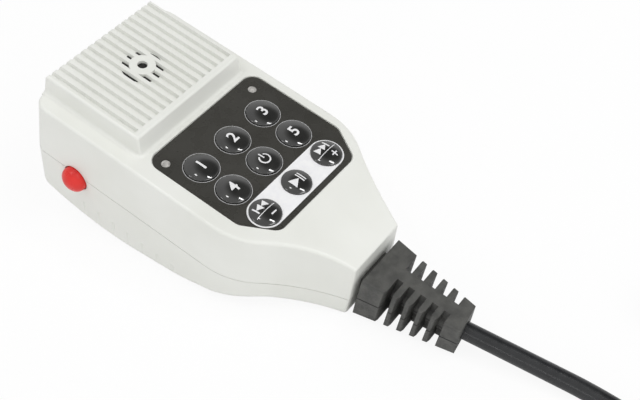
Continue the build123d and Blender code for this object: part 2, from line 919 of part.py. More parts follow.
audio_screws = head_screws(
    audio_post_places,
    -audio_depth,
    board_screw_head_radius,
    board_screw_head_height,
    board_screw_radius,
    board_screw_length,
    -1,
)
write_housed(audio_screws, "audio_screws")


def boot_section(plane, width, bottom_depth):
    """The strain relief across the cord, with its parting line level with the cord."""
    half_height = (bottom_depth - boot_top_depth) / 2
    belly = width + boot_belly
    with BuildSketch(plane) as sketch:
        with BuildLine():
            Polyline(
                (width, half_height),
                (belly, boot_line),
                (belly - boot_line, 0),
                (belly, -boot_line),
                (width, -half_height),
                (-width, -half_height),
                (-belly, -boot_line),
                (boot_line - belly, 0),
                (-belly, boot_line),
                (-width, half_height),
                close=True,
            )
        make_face()
    return sketch.sketch


boot_taper = (boot_base_width - boot_end_width) / boot_length
cord_start = Vector(0, -boot_start, -cord_depth)
cord_exit = Vector(0, -boot_end, -cord_exit_depth)
cord_heading = table.from_local_coords(Vector(first_bend)) - cord_exit
boot_axis = Plane(origin=cord_start, x_dir=(1, 0, 0), z_dir=cord_exit - cord_start)
boot_base = Plane(origin=cord_start, x_dir=(1, 0, 0), z_dir=(0, -1, 0))
boot_tip = Plane(origin=cord_exit, x_dir=Vector(0, 0, 1).cross(cord_heading), z_dir=cord_heading)
with BuildPart() as strain_relief:
    loft(
        [
            boot_section(boot_base, boot_base_width, boot_base_bottom),
            boot_section(boot_tip, boot_end_width, boot_end_bottom),
        ],
        ruled=True,
    )
    long_edges = strain_relief.edges().filter_by(lambda e: abs(e.tangent_at(0.5).Y) > 0.9)
    fillet(long_edges.group_by(Axis.Z)[0] + long_edges.group_by(Axis.Z)[-1], boot_edge_radius)
    with BuildSketch(Plane.XY):
        for slot in range(boot_slot_count):
            middle = boot_start + boot_first_slot + slot * boot_slot_pitch
            mouth = boot_base_width - boot_taper * (middle - boot_start) - boot_slot_flare_depth
            outside = mouth + 2 * boot_slot_flare_depth
            half = boot_slot_width / 2
            flared = half + 2 * boot_slot_flare
            for side in (-1, 1):
                with BuildLine():
                    Polyline(
                        (side * boot_spine, -middle - half),
                        (side * mouth, -middle - half),
                        (side * outside, -middle - flared),
                        (side * outside, -middle + flared),
                        (side * mouth, -middle + half),
                        (side * boot_spine, -middle + half),
                        close=True,
                    )
                make_face()
    extrude(amount=-housing_height, mode=Mode.SUBTRACT)
    with BuildSketch(boot_axis):
        Circle(boot_core_radius)
    extrude(amount=boot_length - boot_core_end)
    add(neck_block(boot_neck_height, boot_neck_width, boot_start + wall, jacket_start + wall / 4))
    add(neck_block(boot_flange_height, boot_flange_width, flange_start, jacket_start))
write_housed(strain_relief.part, "strain_relief")

with BuildPart() as cord_end:
    with BuildSketch(Plane((0, -jacket_start, -cord_depth), x_dir=(1, 0, 0), z_dir=(0, 1, 0))):
        Circle(cord_radius)
    extrude(amount=jacket_length)
write_housed(cord_end.part, "cord_end")

with BuildPart() as cord_clamp:
    clamp_middle = Vector(0, -clamp_y - clamp_width / 2, -cord_depth)
    with BuildSketch(Plane(clamp_middle, x_dir=(1, 0, 0), z_dir=(0, 1, 0))):
        Circle(cord_radius + clamp_thickness)
        with Locations((0, clamp_drop - clamp_thickness / 2)):
            Rectangle(2 * (clamp_screw_x + board_screw_head_radius), clamp_thickness)
        Circle(cord_radius, mode=Mode.SUBTRACT)
        with Locations((0, clamp_drop)):
            Rectangle(
                2 * cord_diameter,
                2 * cord_diameter,
                align=(Align.CENTER, Align.MIN),
                mode=Mode.SUBTRACT,
            )
    extrude(amount=clamp_width)
    add(
        posts(clamp_places, board_screw_radius + case_clearance, clamp_foot_depth, cord_depth - wall),
        mode=Mode.SUBTRACT,
    )
write_housed(cord_clamp.part, "cord_clamp")

clamp_screws = head_screws(
    clamp_places,
    -clamp_foot_depth + clamp_thickness,
    board_screw_head_radius,
    board_screw_head_height,
    board_screw_radius,
    board_screw_length,
    -1,
)
write_housed(clamp_screws, "clamp_screws")


def cord_tube(points, name):
    """A round cord along straight runs, joined by arcs as large as the runs allow."""
    radii = []
    for before, corner, after in zip(points, points[1:], points[2:]):
        run_in = Vector(corner) - Vector(before)
        run_out = Vector(after) - Vector(corner)
        half_turn = radians(run_in.get_angle(run_out) / 2)
        radii.append(0.45 * min(run_in.length, run_out.length) / tan(half_turn))
    with BuildPart() as tube:
        with BuildLine() as path:
            FilletPolyline(*points, radius=radii)
        route = path.wires()[0]
        with BuildSketch(Plane(origin=route @ 0, z_dir=route % 0)):
            Circle(cord_radius)
        sweep(path=route)
    section = pi * cord_radius**2
    print(name, "radii", [round(radius) for radius in radii], "length", round(route.length, 1))
    print(name, "volume over section times length", tube.part.volume / (section * route.length))
    return tube.part


# The cord on the table, from the strain relief to the coil and from the coil to the plug
cord_route = [
    tuple((at_rest * Location(cord_exit)).position),
    first_bend,
    (3.54, -132.45, 5.00),
    (5.15, -146.27, 3.50),
    (4.4, -163.6, 3.1),
    (-2.6, -179.2, 3.1),
    (-13.6, -190.6, 3.1),
]
tail_route = [
    (9.1, -262.3, 9.35),
    (26.3, -257.0, 9.2),
    (40.2, -245.7, 8.9),
    (48.9, -230.0, 8.9),
    (plug_x, -212.5, 9.5),
    (plug_x, -195.5, ring_radius),
]
write(cord_tube(cord_route, "cord"), "cord")
write(cord_tube(tail_route, "cord_tail"), "cord_tail")

with BuildPart() as cord_coil:
    coil_width = (coil_turns - 1) * coil_step + cord_diameter
    coil_height = (coil_layers - 1) * coil_step + cord_diameter
    with BuildSketch(Plane((coil_x, coil_y, 0), x_dir=(1, 0, 0), z_dir=(0, -1, 0))) as coil_section:
        with Locations((coil_inner_turn - cord_radius, 0)):
            Rectangle(coil_width, coil_height, align=Align.MIN)
        fillet(coil_section.vertices(), cord_radius - coil_flat)
    revolve(axis=Axis((coil_x, coil_y, 0), (0, 0, 1)))
write(cord_coil.part, "cord_coil")

# The plug lies along Y with its coupling ring on the table
plug_axis = Axis((plug_x, plug_y, ring_radius), (0, 1, 0))
plug_side = Plane((plug_x, plug_y, ring_radius), x_dir=(0, 1, 0), z_dir=(0, 0, 1))


def plug_plane(distance):
    """A plane across the plug, at a distance from the rear of its shell, facing its front."""
    return Plane((plug_x, plug_y + distance, ring_radius), x_dir=(1, 0, 0), z_dir=(0, 1, 0))


ring_start = plug_shell_length + ring_gap
ring_lip = ring_wall
insert_root = plug_shell_length - insert_length + insert_reach
insert_face = ring_start + ring_length - insert_setback
ear_x = cord_radius + tongue_wall + saddle_screw_head_radius
ear_places = [
    (plug_x - ear_x, plug_y - tongue_length / 2),
    (plug_x + ear_x, plug_y - tongue_length / 2),
]

with BuildPart() as plug_shell:
    with BuildSketch(plug_side) as half_shell:
        with BuildLine():
            Polyline(
                (0, cord_radius),
                (0, plug_rear_radius),
                (wall, plug_rear_radius),
                (plug_taper_length, plug_shell_radius),
                (plug_shell_length, plug_shell_radius),
                (plug_shell_length, plug_shell_radius - plug_shell_wall),
                (plug_taper_length + wall, plug_shell_radius - plug_shell_wall),
                (wall + plug_shell_wall, plug_rear_radius - plug_shell_wall),
                (wall + plug_shell_wall, cord_radius),
                close=True,
            )
        make_face()
    revolve(axis=plug_axis)
    with BuildSketch(plug_plane(-tongue_length)):
        Circle(cord_radius + tongue_wall)
        with Locations((0, ear_thickness / 2)):
            Rectangle(2 * (ear_x + saddle_screw_head_radius), ear_thickness)
        Circle(cord_radius, mode=Mode.SUBTRACT)
        Rectangle(
            4 * ear_x,
            2 * cord_diameter,
            align=(Align.CENTER, Align.MAX),
            mode=Mode.SUBTRACT,
        )
    extrude(amount=tongue_length)
    with BuildSketch(Plane.XY.offset(ring_radius)):
        with Locations(*ear_places):
            Circle(saddle_screw_radius + pilot_gap)
    extrude(amount=-ear_thickness, mode=Mode.SUBTRACT)
write(plug_shell.part, "plug_shell")

with BuildPart() as plug_saddle:
    with BuildSketch(plug_plane(-tongue_length + pilot_gap)):
        Circle(cord_radius + tongue_wall)
        with Locations((0, -ear_thickness / 2)):
            Rectangle(2 * (ear_x + saddle_screw_head_radius), ear_thickness)
        Circle(cord_radius, mode=Mode.SUBTRACT)
        Rectangle(
            4 * ear_x,
            2 * cord_diameter,
            align=(Align.CENTER, Align.MIN),
            mode=Mode.SUBTRACT,
        )
    extrude(amount=tongue_length - 2 * pilot_gap)
    with BuildSketch(Plane.XY.offset(ring_radius)):
        with Locations(*ear_places):
            Circle(saddle_screw_radius + case_clearance)
    extrude(amount=ear_thickness, mode=Mode.SUBTRACT)
write(plug_saddle.part, "plug_saddle")

plug_screws = head_screws(
    ear_places,
    ring_radius + ear_thickness,
    saddle_screw_head_radius,
    saddle_screw_head_height,
    saddle_screw_radius,
    2 * ear_thickness,
    -1,
)
write(plug_screws, "plug_screws")

# The insert sits in the front of the shell, and its flange keeps the coupling ring on
flange_back = ring_start + ring_lip + ring_gap
with BuildPart() as plug_insert:
    with BuildSketch(plug_side) as half_insert:
        with BuildLine():
            Polyline(
                (insert_root, 0),
                (insert_root, plug_shell_radius - plug_shell_wall),
                (plug_shell_length, plug_shell_radius - plug_shell_wall),
                (plug_shell_length, insert_radius),
                (flange_back, insert_radius),
                (flange_back, insert_radius + insert_flange),
                (flange_back + insert_flange, insert_radius + insert_flange),
                (flange_back + insert_flange, insert_radius),
                (insert_face, insert_radius),
                (insert_face, 0),
                close=True,
            )
        make_face()
    revolve(axis=plug_axis)
    with BuildSketch(plug_plane(insert_root)):
        Circle(contact_radius)
        with PolarLocations(contact_circle, contact_count - 1):
            Circle(contact_radius)
    extrude(amount=insert_face - insert_root, mode=Mode.SUBTRACT)
    with BuildSketch(plug_plane(flange_back + 2 * insert_flange)):
        with Locations((0, -insert_radius)):
            Rectangle(2 * contact_radius, insert_flange)
    extrude(amount=insert_length, mode=Mode.SUBTRACT)
write(plug_insert.part, "plug_insert")

with BuildPart() as plug_contacts:
    with BuildSketch(plug_plane(insert_face - contact_length)):
        Circle(contact_radius)
        with PolarLocations(contact_circle, contact_count - 1):
            Circle(contact_radius)
    extrude(amount=contact_length - ring_gap)
    with BuildSketch(plug_plane(insert_face - contact_length / 2)):
        Circle(contact_radius / 2)
        with PolarLocations(contact_circle, contact_count - 1):
            Circle(contact_radius / 2)
    extrude(amount=contact_length, mode=Mode.SUBTRACT)
write(plug_contacts.part, "plug_contacts")

with BuildPart() as coupling_ring:
    with BuildSketch(plug_side) as half_ring:
        with BuildLine():
            Polyline(
                (ring_start, insert_radius + ring_gap),
                (ring_start, ring_radius),
                (ring_start + ring_length, ring_radius),
                (ring_start + ring_length, ring_radius - ring_wall),
                (ring_start + ring_lip, ring_radius - ring_wall),
                (ring_start + ring_lip, insert_radius + ring_gap),
                close=True,
            )
        make_face()
        chamfer(half_ring.vertices().group_by(Axis.X)[0], ring_chamfer)
    revolve(axis=plug_axis)
    with BuildSketch(plug_plane(ring_start)):
        with PolarLocations(ring_radius, ring_flutes):
            Circle(ring_flute_radius)
    extrude(amount=ring_length, mode=Mode.SUBTRACT)
write(coupling_ring.part, "coupling_ring")
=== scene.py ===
import math

import bmesh
import bpy
from mathutils import Matrix, Vector


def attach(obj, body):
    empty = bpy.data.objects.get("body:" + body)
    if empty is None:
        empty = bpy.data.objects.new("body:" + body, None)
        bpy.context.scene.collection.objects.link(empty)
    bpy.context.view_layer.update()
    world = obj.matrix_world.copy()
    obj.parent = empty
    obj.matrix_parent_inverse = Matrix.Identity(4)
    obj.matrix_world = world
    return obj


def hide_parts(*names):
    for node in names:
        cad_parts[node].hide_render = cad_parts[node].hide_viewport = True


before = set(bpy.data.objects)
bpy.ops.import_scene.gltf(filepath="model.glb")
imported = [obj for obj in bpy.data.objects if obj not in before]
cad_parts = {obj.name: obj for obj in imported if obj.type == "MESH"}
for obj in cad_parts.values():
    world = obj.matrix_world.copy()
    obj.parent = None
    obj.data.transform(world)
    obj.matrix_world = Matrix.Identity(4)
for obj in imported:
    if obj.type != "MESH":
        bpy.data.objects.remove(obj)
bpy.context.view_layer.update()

# Dresses the hand microphone, which lies on its back with its tail towards -Y.
#
# Lengths are metres in the frame of the CAD. The keys, the lamps and the print are given in
# millimetres in the housing's own frame: X to the right, Y towards the head, Z out of the
# face, from the middle key of the upper row.

MM = 0.001
FACE_TILT = math.radians(9.8)
BELLY_MIDDLE = Vector((0, 5.5, -42.22)) * MM
TO_REST = Matrix.Rotation(FACE_TILT, 4, "X") @ Matrix.Translation(-BELLY_MIDDLE)
FULL_TURN = 2 * math.pi


# ---------------------------------------------------------------- camera

SENSOR_WIDTH = 36.0
LENS = 63.03
CLIP_START = 0.01
CAMERA_PLACE = (-0.2009, -0.1936, 0.2931)
CAMERA_TURN = [math.radians(angle) for angle in (43.703, 0.145, -54.202)]


def add_camera():
    """The camera stands left of the tail and looks down across the face."""
    data = bpy.data.cameras.new("camera")
    data.sensor_width = SENSOR_WIDTH
    data.lens = LENS
    data.clip_start = CLIP_START
    camera = bpy.data.objects.new("camera", data)
    camera.location = CAMERA_PLACE
    camera.rotation_euler = CAMERA_TURN
    bpy.context.scene.collection.objects.link(camera)
    bpy.context.scene.camera = camera


# ---------------------------------------------------------------- cord

CORD_DIAMETER = 0.0062
CORD_RADIUS = CORD_DIAMETER / 2
CORD_ORDER = 3
CORD_STEPS = 8
CORD_BEVEL_STEPS = 6

# The coil lies in lanes, from its inner turn outwards, and in two layers. These are the lane
# and the layer in which each turn starts. A change of layer takes the last eighth but one of
# a turn, and a change of lane takes the last.
COIL_MIDDLE = Vector((0.0042, -0.2258, 0))
COIL_INNER_TURN = 0.025
COIL_STEP = 0.00625
COIL_START = math.radians(135)
COIL_TURNS = 5.375
COIL_LANES = (2, 1, 0, 0, 1, 2, 2)
COIL_LAYERS = (0, 0, 0, 1, 1, 1, 1)
POINTS_PER_TURN = 24
SHIFT_SHARE = 1 / 8

# From the strain relief to the coil, and from the coil to the plug
CORD_ROUTE = [
    (0.0, -0.10424, 0.00835),
    (0.00176, -0.11804, 0.0067),
    (0.00354, -0.13245, 0.0050),
    (0.00515, -0.14627, 0.0035),
    (0.0044, -0.1636, 0.0031),
    (-0.0026, -0.1792, 0.0031),
    (-0.0136, -0.1906, 0.0031),
]
TAIL_ROUTE = [
    (0.0091, -0.2623, 0.00935),
    (0.0263, -0.2570, 0.0092),
    (0.0402, -0.2457, 0.0089),
    (0.0489, -0.2300, 0.0089),
    (0.0510, -0.2125, 0.0095),
    (0.0510, -0.1955, 0.0096),
]


def eased(share):
    """0 to 1 with soft ends."""
    share = min(max(share, 0.0), 1.0)
    return share * share * (3 - 2 * share)


def coil_points():
    """Three turns on the table from the outside in, then back out on top of them."""
    points = []
    for step in range(int(COIL_TURNS * POINTS_PER_TURN) + 1):
        turns = step / POINTS_PER_TURN
        turn = int(turns)
        along = turns - turn
        shift = eased((along - 1 + SHIFT_SHARE) / SHIFT_SHARE)
        climb = eased((along - 1 + 2 * SHIFT_SHARE) / SHIFT_SHARE)
        lane = COIL_LANES[turn] + (COIL_LANES[turn + 1] - COIL_LANES[turn]) * shift
        layer = COIL_LAYERS[turn] + (COIL_LAYERS[turn + 1] - COIL_LAYERS[turn]) * climb
        radius = COIL_INNER_TURN + lane * COIL_STEP
        angle = COIL_START + turns * FULL_TURN
        offset = Vector((radius * math.cos(angle), radius * math.sin(angle), 0))
        height = Vector((0, 0, CORD_RADIUS + layer * COIL_STEP))
        points.append(COIL_MIDDLE + offset + height)
    return points


def smooth_curve(name, points):
    """A smooth curve with the points as its control points."""
    data = bpy.data.curves.new(name, "CURVE")
    data.dimensions = "3D"
    data.resolution_u = CORD_STEPS
    spline = data.splines.new("NURBS")
    spline.points.add(len(points) - 1)
    for place, point in zip(spline.points, points):
        place.co = (*point, 1.0)
    spline.order_u = CORD_ORDER
    spline.use_endpoint_u = True
    curve = bpy.data.objects.new(name, data)
    bpy.context.scene.collection.objects.link(curve)
    return curve


def curve_length(curve):
    """Length of a curve's own line, before it has a bevel."""
    mesh = bpy.data.meshes.new_from_object(curve)
    points = [vertex.co for vertex in mesh.vertices]
    return sum((b - a).length for a, b in zip(points, points[1:]))


def add_cord(material):
    """The cord from the strain relief through its coil to the plug, as one smooth line."""
    cord = smooth_curve("cord_line", CORD_ROUTE + coil_points() + TAIL_ROUTE)
    length = curve_length(cord)
    cord.data.bevel_depth = CORD_RADIUS
    cord.data.bevel_resolution = CORD_BEVEL_STEPS
    cord.data.use_fill_caps = True
    cord.data.materials.append(material)
    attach(cord, "housing")
    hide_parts("cord", "cord_coil", "cord_tail")


# ---------------------------------------------------------------- materials

# Most of a noise's values lie between these
NOISE_LOW = 0.35
NOISE_HIGH = 0.65
BEVEL_SAMPLES = 4

# Plane of the strain relief's parting line, along whose groove shade is painted as a dark line: the
# way it faces, its distance from the origin, and half the painted line's width
PARTING_WAY = (0.0, -0.0787, 1.0)
PARTING_LEVEL = 0.0165
PARTING_SHADE_HALF = 0.0004

# Grey levels of the white prints, and how much darker red, green and blue are where the ink
# is thin, 0 to 255
RING_LEVEL = 190
STRIP_LEVEL = 243
LEGEND_LEVEL = 236
THIN_INK = (6, 6, 4)

CLEAR_COAT = {"Coat_Weight": 1.0, "Coat_Roughness": 0.03}


def linear(red, green, blue):
    """A colour given as 0 to 255 display values, as the shader wants it."""
    def channel(value):
        value /= 255
        return value / 12.92 if value <= 0.04045 else ((value + 0.055) / 1.055) ** 2.4
    return (channel(red), channel(green), channel(blue), 1.0)


def dimmed(colour, share):
    """A share of a colour's light."""
    return tuple(channel * share for channel in colour[:3]) + (1.0,)


class Finish:
    """A material with a Principled shader, and short calls for its procedural detail.

    A size is about that of the noise's grains, and detail is its number of octaves. Further
    sockets of the shader are given by name, with an underscore for each space.
    """

    def __init__(self, name, colour, roughness, **sockets):
        self.material = bpy.data.materials.new(name)
        self.material.use_nodes = True
        self.nodes = self.material.node_tree.nodes
        self.links = self.material.node_tree.links
        self.shader = self.nodes["Principled BSDF"]
        self.shader.inputs["Base Color"].default_value = colour
        self.shader.inputs["Roughness"].default_value = roughness
        for socket, value in sockets.items():
            self.shader.inputs[socket.replace("_", " ")].default_value = value
        self.place = self.nodes.new("ShaderNodeTexCoord").outputs["Object"]
        self.normal = None

    def noise(self, size, detail, roughness=0.5):
        """Noise through the whole piece."""
        node = self.nodes.new("ShaderNodeTexNoise")
        node.inputs["Scale"].default_value = 1 / size
        node.inputs["Detail"].default_value = detail
        node.inputs["Roughness"].default_value = roughness
        self.links.new(self.place, node.inputs["Vector"])
        return node.outputs["Fac"]

    def span(self, value, low, high, from_low=NOISE_LOW, from_high=NOISE_HIGH):
        """The value, moved from its own range to low to high."""
        node = self.nodes.new("ShaderNodeMapRange")
        node.inputs["From Min"].default_value = from_low
        node.inputs["From Max"].default_value = from_high
        node.inputs["To Min"].default_value = low
        node.inputs["To Max"].default_value = high
        self.links.new(value, node.inputs["Value"])
        return node.outputs["Result"]

    def blend(self, share, first):
        """Base colour that is first where the share is 0. Returns the other colour's socket."""
        node = self.nodes.new("ShaderNodeMix")
        node.data_type = "RGBA"
        node.inputs["A"].default_value = first
        self.links.new(share, node.inputs["Factor"])
        self.links.new(node.outputs["Result"], self.shader.inputs["Base Color"])
        return node.inputs["B"]

    def tones(self, size, detail, first, second):
        """Base colour that wanders from first to second."""
        share = self.span(self.noise(size, detail), 0.0, 1.0)
        self.blend(share, first).default_value = second

    def line(self, way, level, half_width, colour):
        """A line of another colour where the surface crosses a plane."""
        along = self.nodes.new("ShaderNodeVectorMath")
        along.operation = "DOT_PRODUCT"
        along.inputs[1].default_value = Vector(way).normalized()
        self.links.new(self.place, along.inputs[0])
        off = self.nodes.new("ShaderNodeMath")
        off.operation = "SUBTRACT"
        off.inputs[1].default_value = level
        self.links.new(along.outputs["Value"], off.inputs[0])
        apart = self.nodes.new("ShaderNodeMath")
        apart.operation = "ABSOLUTE"
        self.links.new(off.outputs["Value"], apart.inputs[0])
        under = self.shader.inputs["Base Color"].links[0].from_socket
        share = self.span(apart.outputs["Value"], 0.0, 1.0, half_width / 2, half_width)
        self.links.new(under, self.blend(share, colour))

    def gloss(self, size, detail, low, high):
        """Roughness that wanders from low to high."""
        roughness = self.span(self.noise(size, detail), low, high)
        self.links.new(roughness, self.shader.inputs["Roughness"])

    def bevel(self, radius):
        """Edges look rounded over the radius."""
        node = self.nodes.new("ShaderNodeBevel")
        node.samples = BEVEL_SAMPLES
        node.inputs["Radius"].default_value = radius
        self.normal = node.outputs["Normal"]
        self.links.new(self.normal, self.shader.inputs["Normal"])

    def bump(self, size, detail, height, roughness=0.5):
        """Grain that rises by height metres where the noise is 1."""
        node = self.nodes.new("ShaderNodeBump")
        node.inputs["Strength"].default_value = 1.0
        node.inputs["Distance"].default_value = height
        self.links.new(self.noise(size, detail, roughness), node.inputs["Height"])
        if self.normal:
            self.links.new(self.normal, node.inputs["Normal"])
        self.normal = node.outputs["Normal"]
        self.links.new(self.normal, self.shader.inputs["Normal"])


def shell_plastic():
    """Off-white moulded plastic with a fine grain."""
    finish = Finish("shell_plastic", linear(226, 227, 222), roughness=0.32)
    finish.tones(size=0.03, detail=3.0, first=linear(225, 226, 220), second=linear(230, 231, 226))
    finish.gloss(size=0.008, detail=4.0, low=0.28, high=0.36)
    finish.bevel(radius=0.00025)
    finish.bump(size=0.0006, detail=2.0, height=0.000008)
    return finish.material


def overlay_film():
    """Dark printed film with a satin gloss."""
    finish = Finish("overlay_film", linear(56, 55, 51), roughness=0.28)
    finish.tones(size=0.02, detail=2.0, first=linear(53, 52, 48), second=linear(60, 59, 55))
    finish.gloss(size=0.004, detail=3.0, low=0.24, high=0.32)
    finish.bump(size=0.006, detail=2.0, height=0.00002)
    return finish.material


def key_dome():
    """Clear dome over black print."""
    finish = Finish("key_dome", linear(30, 30, 29), roughness=0.08, **CLEAR_COAT)
    finish.tones(size=0.004, detail=2.0, first=linear(26, 26, 25), second=linear(36, 36, 34))
    finish.gloss(size=0.003, detail=2.0, low=0.06, high=0.1)
    return finish.material


def white_print(name, level):
    """Screen-printed white ink under a clear coat."""
    white = linear(level, level, level)
    thin = linear(*(level - step for step in THIN_INK))
    finish = Finish(name, white, roughness=0.35, **CLEAR_COAT)
    finish.tones(size=0.002, detail=3.0, first=thin, second=white)
    finish.gloss(size=0.001, detail=2.0, low=0.3, high=0.45)
    return finish.material


def lamp_plastic():
    """Milky grey lamp lens."""
    finish = Finish(
        "lamp_plastic",
        linear(172, 170, 166),
        roughness=0.3,
        Subsurface_Weight=0.3,
        Subsurface_Radius=(0.001, 0.001, 0.001),
    )
    finish.tones(size=0.0012, detail=3.0, first=linear(150, 148, 145), second=linear(188, 186, 182))
    finish.gloss(size=0.0008, detail=2.0, low=0.25, high=0.4)
    return finish.material


def button_plastic():
    """Glossy red plastic."""
    finish = Finish("button_plastic", linear(218, 34, 28), roughness=0.3)
    finish.tones(size=0.005, detail=2.0, first=linear(212, 30, 26), second=linear(224, 40, 32))
    finish.gloss(size=0.002, detail=3.0, low=0.26, high=0.38)
    finish.bevel(radius=0.0002)
    return finish.material


def boot_rubber():
    """Dark grey moulded rubber, with painted shade along its parting groove."""
    finish = Finish("boot_rubber", linear(70, 70, 68), roughness=0.55)
    finish.tones(size=0.004, detail=3.0, first=linear(62, 62, 60), second=linear(80, 80, 77))
    # Painted shade: a dark line where the parting groove runs
    finish.line(PARTING_WAY, PARTING_LEVEL, PARTING_SHADE_HALF, linear(22, 22, 21))
    finish.gloss(size=0.0008, detail=3.0, low=0.4, high=0.6)
    finish.bevel(radius=0.0004)
    finish.bump(size=0.0005, detail=3.0, height=0.00005, roughness=0.7)
    return finish.material


def cord_jacket():
    """Smooth dark cord jacket."""
    finish = Finish("cord_jacket", linear(32, 33, 35), roughness=0.26)
    finish.tones(size=0.006, detail=3.0, first=linear(28, 29, 31), second=linear(37, 38, 40))
    finish.gloss(size=0.003, detail=3.0, low=0.22, high=0.3)
    finish.bump(size=0.0008, detail=2.0, height=0.000003)
    return finish.material


def metal(name, colour, roughness, grain):
    """Plain metal with a fine grain."""
    finish = Finish(name, colour, roughness, Metallic=1.0)
    finish.tones(size=0.002, detail=3.0, first=dimmed(colour, share=0.85), second=colour)
    finish.gloss(size=grain, detail=3.0, low=roughness * 0.8, high=roughness * 1.3)
    finish.bevel(radius=0.00015)
    finish.bump(size=grain, detail=2.0, height=0.000004)
    return finish.material


def hidden_plastic(name, colour, roughness):
    """Plain moulded or laminated material inside the housing or the plug."""
    finish = Finish(name, colour, roughness)
    finish.tones(size=0.003, detail=3.0, first=dimmed(colour, share=0.8), second=colour)
    finish.gloss(size=0.001, detail=3.0, low=roughness * 0.85, high=min(1.0, roughness * 1.15))
    finish.bump(size=0.0004, detail=2.0, height=0.00001)
    return finish.material


def dress(material, *names):
    """Gives CAD nodes a material."""
    for name in names:
        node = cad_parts[name]
        node.data.materials.clear()
        node.data.materials.append(material)


def dress_all():
    """Every CAD node that no piece replaces gets its finish."""
    dress(shell_plastic(), "front_shell", "back_shell")
    dress(overlay_film(), "keypad_overlay")
    dress(button_plastic(), "ptt_button")
    dress(boot_rubber(), "strain_relief", "capsule_holder")
    dress(hidden_plastic("screen_cloth", linear(34, 33, 32), 0.9), "dust_screen")
    dress(hidden_plastic("board", linear(30, 92, 58), 0.5), "keypad_board", "audio_board")
    dress(hidden_plastic("switch_body", linear(34, 34, 34), 0.5), "tact_switches", "ptt_switch")
    dress(hidden_plastic("insert_plastic", linear(30, 30, 31), 0.45), "plug_insert")
    steel = metal("steel", linear(190, 190, 188), 0.35, grain=0.0005)
    dress(steel, "board_screws", "case_screws", "audio_screws", "clamp_screws", "plug_screws")
    dress(steel, "cord_clamp")
    dress(metal("capsule_can", linear(200, 200, 200), 0.25, grain=0.0004), "mic_capsule")
    chrome = metal("plug_plating", linear(214, 214, 216), 0.16, grain=0.0003)
    dress(chrome, "plug_shell", "plug_saddle", "coupling_ring")
    dress(metal("contact_plating", linear(214, 178, 98), 0.22, grain=0.0003), "plug_contacts")


# ---------------------------------------------------------------- pieces on the face

CREASE = math.radians(35)


def add_piece(mesh, name, body, material):
    """Takes a form from the housing's own frame to rest and makes it a piece."""
    for vertex in mesh.verts:
        vertex.co = TO_REST @ (vertex.co * MM)
    bmesh.ops.recalc_face_normals(mesh, faces=mesh.faces)
    data = bpy.data.meshes.new(name)
    mesh.to_mesh(data)
    mesh.free()
    data.materials.append(material)
    piece = bpy.data.objects.new(name, data)
    bpy.context.scene.collection.objects.link(piece)
    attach(piece, body)
    return piece


def add_solid(mesh, name, body, material, node):
    """A rounded solid that stands for a CAD node."""
    piece = add_piece(mesh, name, body, material)
    piece.data.shade_smooth()
    piece.data.set_sharp_from_angle(angle=CREASE)
    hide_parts(node)


# ---------------------------------------------------------------- keys and lamps

# The crowns of these nodes are hollow-sided in the CAD, so true domes stand for them.

KEY_PITCH_X = 16.0
KEY_PITCH_Y = 13.225
LOWER_ROW = -2 * KEY_PITCH_Y
SKIP_X = 16.43
DOME_RADIUS = 5.7
PLAY_RADIUS = 5.15
SKIP_RADIUS = 5.4
KEY_RISE = 1.3
KEY_CROWN = 1.1
KEY_EDGE = 0.4
KEY_FLANGE = 0.7
KEY_FLANGE_TOP = -2.4
KEY_FLANGE_BOTTOM = -3.4
KEY_STEM_RADIUS = 2.0
KEY_STEM_BOTTOM = -7.4

LAMP_X = 22.35
LAMP_Y = 9.5
LAMP_RADIUS = 1.5
LAMP_RISE = -0.1
LAMP_CROWN = 0.25
LAMP_EDGE = 0.1
LAMP_FLANGE_RADIUS = 1.95
LAMP_FLANGE_TOP = -3.4
LAMP_BOTTOM = -4.4
LAMP_LEAD = 0.5
LAMP_LEAD_PITCH = 2.54
BOARD_TOP = -12.9

TURN_STEPS = 72
CROWN_STEPS = 16
EDGE_STEPS = 6

# Place on the face and radius of each key
KEYS = {
    "key_1": (-KEY_PITCH_X, 0.0, DOME_RADIUS),
    "key_2": (0.0, 0.0, DOME_RADIUS),
    "key_3": (KEY_PITCH_X, 0.0, DOME_RADIUS),
    "key_4": (-KEY_PITCH_X, -KEY_PITCH_Y, DOME_RADIUS),
    "key_5": (0.0, -KEY_PITCH_Y, DOME_RADIUS),
    "key_6": (KEY_PITCH_X, -KEY_PITCH_Y, DOME_RADIUS),
    "key_down": (-SKIP_X, LOWER_ROW, SKIP_RADIUS),
    "key_play": (0.0, LOWER_ROW, PLAY_RADIUS),
    "key_up": (SKIP_X, LOWER_ROW, SKIP_RADIUS),
}


def sphere_radius(radius, crown):
    """Radius of the sphere whose cap has this radius and height."""
    return (radius**2 + crown**2) / (2 * crown)


def crown_outline(radius, rise, crown, edge):
    """Half outline of a domed top with a rounded edge, from its middle outwards."""
    sphere = sphere_radius(radius, crown)
    centre = rise - sphere
    lean = math.asin((radius - edge) / (sphere - edge))
    edge_centre = centre + math.sqrt((sphere - edge) ** 2 - (radius - edge) ** 2)
    points = []
    for step in range(CROWN_STEPS + 1):
        angle = lean * step / CROWN_STEPS
        points.append((sphere * math.sin(angle), centre + sphere * math.cos(angle)))
    for step in range(1, EDGE_STEPS + 1):
        angle = lean + (math.pi / 2 - lean) * step / EDGE_STEPS
        out = radius - edge + edge * math.sin(angle)
        points.append((out, edge_centre + edge * math.cos(angle)))
    return points


